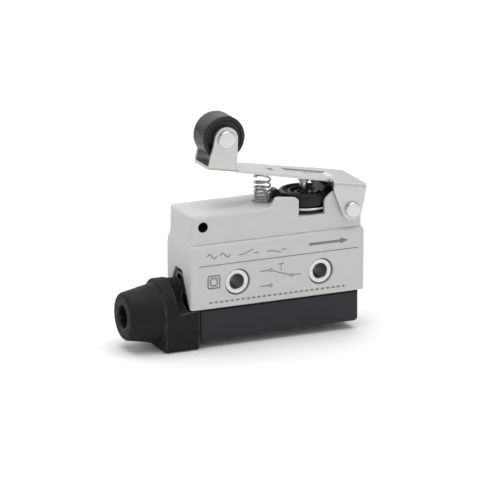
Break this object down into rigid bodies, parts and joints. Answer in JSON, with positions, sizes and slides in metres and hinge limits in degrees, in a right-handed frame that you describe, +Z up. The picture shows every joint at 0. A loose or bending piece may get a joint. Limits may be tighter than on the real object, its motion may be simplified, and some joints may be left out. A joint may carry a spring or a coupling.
{
  "type": "limit switch",
  "caption": "Enclosed snap-action limit switch with a sprung, hinged roller lever, a sealed plunger, a terminal cover and a rubber cable boot.",
  "frame": {"origin": "on the rear mounting face, midway between the axes of the two mounting holes", "axes": "+Y out of the rear mounting face, +X along the case from the cable boot to the lever hinge, +Z up towards the lever"},
  "size_m": [0.0704, 0.019, 0.0648],
  "materials": {
    "case_plastic": "fine moulded grain, warm light grey",
    "cover_plastic": "fine moulded grain, dark blue-grey",
    "black_rubber": "matte moulded rubber",
    "lever_steel": "tumbled and plated, satin",
    "bright_steel": "turned and plated, bright",
    "spring_steel": "drawn wire, bright",
    "roller_plastic": "moulded, with a low sheen",
    "contact_brass": "stamped, clean",
    "contact_silver": "polished silver alloy",
    "block_moulding": "dark red-brown thermoset",
    "white_acetal": "smooth"
  },
  "bodies": {
    "case": {"housing": "case_plastic", "mounting_sleeve_left": "bright_steel", "mounting_sleeve_right": "bright_steel", "terminal_cover": "cover_plastic", "cover_gasket": "black_rubber", "cover_screw": "bright_steel", "cable_boot": "black_rubber", "cable_grommet": "black_rubber", "cord_clamp": "lever_steel", "hinge_pin": "bright_steel", "plunger_seal": "black_rubber", "seal_retaining_ring": "bright_steel", "plunger_guide": "contact_brass", "return_spring": "spring_steel", "switch_base": "block_moulding", "switch_cap": "block_moulding", "common_terminal": "contact_brass", "normally_open_terminal": "contact_brass", "normally_closed_terminal": "contact_brass", "terminal_screw_common": "bright_steel", "terminal_screw_open": "bright_steel", "terminal_screw_closed": "bright_steel", "contact_open": "contact_silver", "contact_closed": "contact_silver", "snap_spring": "contact_brass"},
    "lever_arm": {"lever": "lever_steel", "roller_pin": "bright_steel"},
    "roller_wheel": {"roller": "roller_plastic", "roller_bush": "contact_brass"},
    "plunger_rod": {"plunger": "bright_steel", "plunger_spring": "spring_steel"},
    "button": {"switch_button": "white_acetal"},
    "blade": {"moving_blade": "contact_brass", "moving_contact": "contact_silver"}
  },
  "joints": [
    {"name": "lever_pivot", "type": "hinge", "parent": "case", "child": "lever_arm", "pos_m": [0.02194, -0.00875, 0.01713], "axis": [0, -1, 0], "range_deg": [0, 8.5], "stiffness_Nm_per_rad": 0.35, "springref_deg": -14.32, "deforming": ["return_spring"]},
    {"name": "roller_spin", "type": "hinge", "parent": "lever_arm", "child": "roller_wheel", "pos_m": [-0.01455, -0.00875, 0.04014], "axis": [0, 1, 0], "continuous": true},
    {"name": "plunger_slide", "type": "slide", "parent": "case", "child": "plunger_rod", "axis": [0, 0, -1], "range_m": [0, 0.00165], "deforming": ["plunger_spring"]},
    {"name": "button_slide", "type": "slide", "parent": "case", "child": "button", "axis": [0, 0, -1], "range_m": [0, 0.00039]},
    {"name": "blade_snap", "type": "hinge", "parent": "case", "child": "blade", "pos_m": [0.0172, -0.00875, 0.00815], "axis": [0, -1, 0], "range_deg": [0, 3.7], "deforming": ["snap_spring"]}
  ],
  "couplings": [
    {"joint": "plunger_slide", "follows": "lever_pivot", "m_per_rad": 0.0108},
    {"joint": "button_slide", "follows": "lever_pivot", "m_per_rad": 0.0025},
    {"joint": "blade_snap", "follows": "lever_pivot", "ratio": 0.42}
  ]
}
